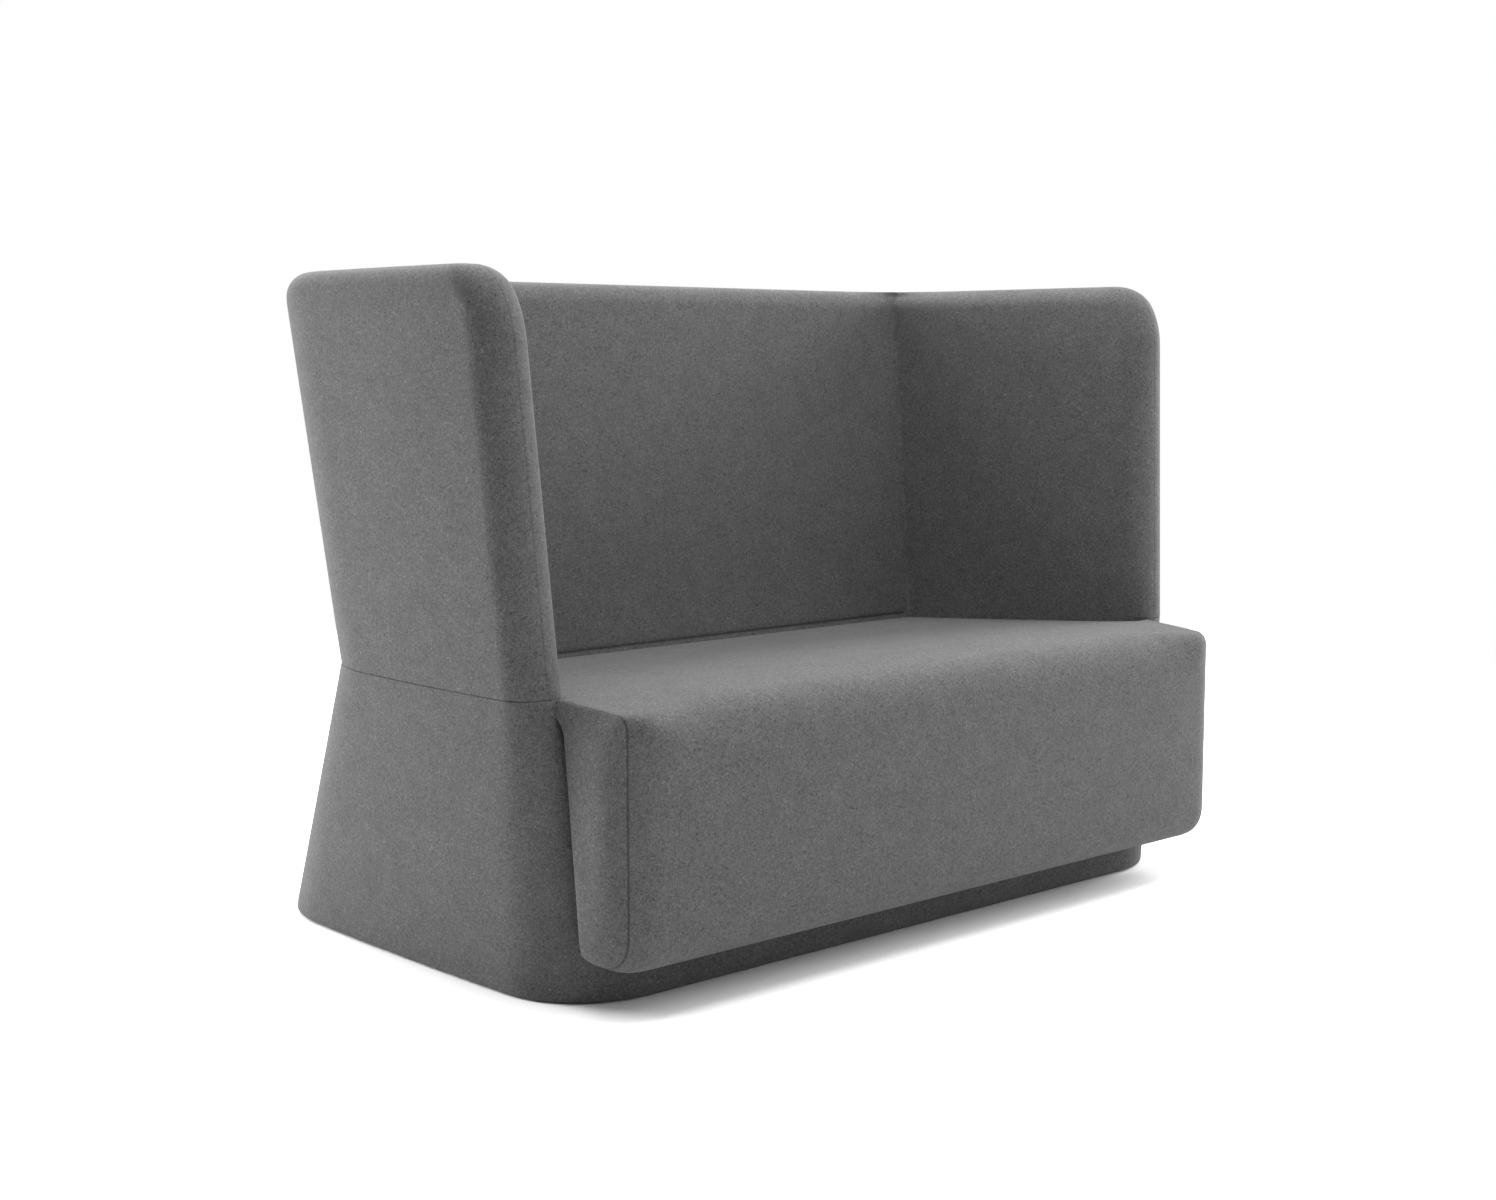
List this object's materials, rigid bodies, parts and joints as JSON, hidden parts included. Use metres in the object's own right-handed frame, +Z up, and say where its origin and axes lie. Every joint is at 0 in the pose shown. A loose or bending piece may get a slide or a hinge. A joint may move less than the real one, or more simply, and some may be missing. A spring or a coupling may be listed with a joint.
{
  "type": "lounge sofa",
  "caption": "High-backed upholstered lounge sofa with enclosing wings, a waisted shell and a deep seat block that comes forward out of it, on hidden levelling feet.",
  "frame": {"origin": "on the floor under the middle of the sofa's overall box", "axes": "+X to the right in a front view, +Y to the back, -Y to the front where people sit, +Z up"},
  "size_m": [1.5254, 0.993, 1.027],
  "materials": {
    "wool_felt": "melange grey wool felt, matt, fine nap",
    "beech": "planed, unfinished",
    "plywood": "rotary-cut birch plywood, unfinished",
    "zinc_steel": "zinc plated",
    "glide_plastic": "moulded, matt black",
    "lining_cloth": "black non-woven lining",
    "insulator_felt": "needled grey felt"
  },
  "bodies": {
    "sofa": {"corner_blocks": "beech", "t_nuts": "zinc_steel", "base_front_rail": "beech", "base_rear_rail": "beech", "base_side_rail_left": "beech", "base_side_rail_right": "beech", "base_cross_rails": "beech", "base_brackets": "zinc_steel", "dust_cover": "lining_cloth", "lower_front_posts": "beech", "lower_rear_posts": "beech", "waist_rail_left": "beech", "waist_rail_right": "beech", "waist_rail_back": "beech", "lower_panel_left": "plywood", "lower_panel_right": "plywood", "lower_panel_back": "plywood", "lower_side_pad_left": "wool_felt", "lower_side_pad_right": "wool_felt", "lower_corner_pad_left": "wool_felt", "lower_corner_pad_right": "wool_felt", "lower_back_pad": "wool_felt", "plinth_pad": "wool_felt", "wing_sill_left": "beech", "wing_sill_right": "beech", "wing_front_post_left": "beech", "wing_front_post_right": "beech", "wing_rear_post_left": "beech", "wing_rear_post_right": "beech", "wing_top_rail_left": "beech", "wing_top_rail_right": "beech", "wing_panel_left": "plywood", "wing_panel_right": "plywood", "wing_pad_left": "wool_felt", "wing_pad_right": "wool_felt", "back_sill": "beech", "back_top_rail": "beech", "back_uprights": "beech", "back_panel": "plywood", "back_pad": "wool_felt", "shell_bolts": "zinc_steel", "seat_front_rail": "beech", "seat_rear_rail": "beech", "seat_side_rails": "beech", "seat_springs": "zinc_steel", "spring_clips": "zinc_steel", "spring_felt": "insulator_felt", "seat_top_pad": "wool_felt", "seat_front_pad": "wool_felt", "seat_bolts": "zinc_steel"},
    "foot_front_left": {"foot_pad_front_left": "glide_plastic", "foot_stud_front_left": "zinc_steel"},
    "foot_front_right": {"foot_pad_front_right": "glide_plastic", "foot_stud_front_right": "zinc_steel"},
    "foot_rear_left": {"foot_pad_rear_left": "glide_plastic", "foot_stud_rear_left": "zinc_steel"},
    "foot_rear_right": {"foot_pad_rear_right": "glide_plastic", "foot_stud_rear_right": "zinc_steel"}
  },
  "joints": [
    {"name": "level_front_left", "type": "slide", "parent": "sofa", "child": "foot_front_left", "axis": [0, 0, -1], "range_m": [0, 0.01]},
    {"name": "level_front_right", "type": "slide", "parent": "sofa", "child": "foot_front_right", "axis": [0, 0, -1], "range_m": [0, 0.01]},
    {"name": "level_rear_left", "type": "slide", "parent": "sofa", "child": "foot_rear_left", "axis": [0, 0, -1], "range_m": [0, 0.01]},
    {"name": "level_rear_right", "type": "slide", "parent": "sofa", "child": "foot_rear_right", "axis": [0, 0, -1], "range_m": [0, 0.01]}
  ]
}
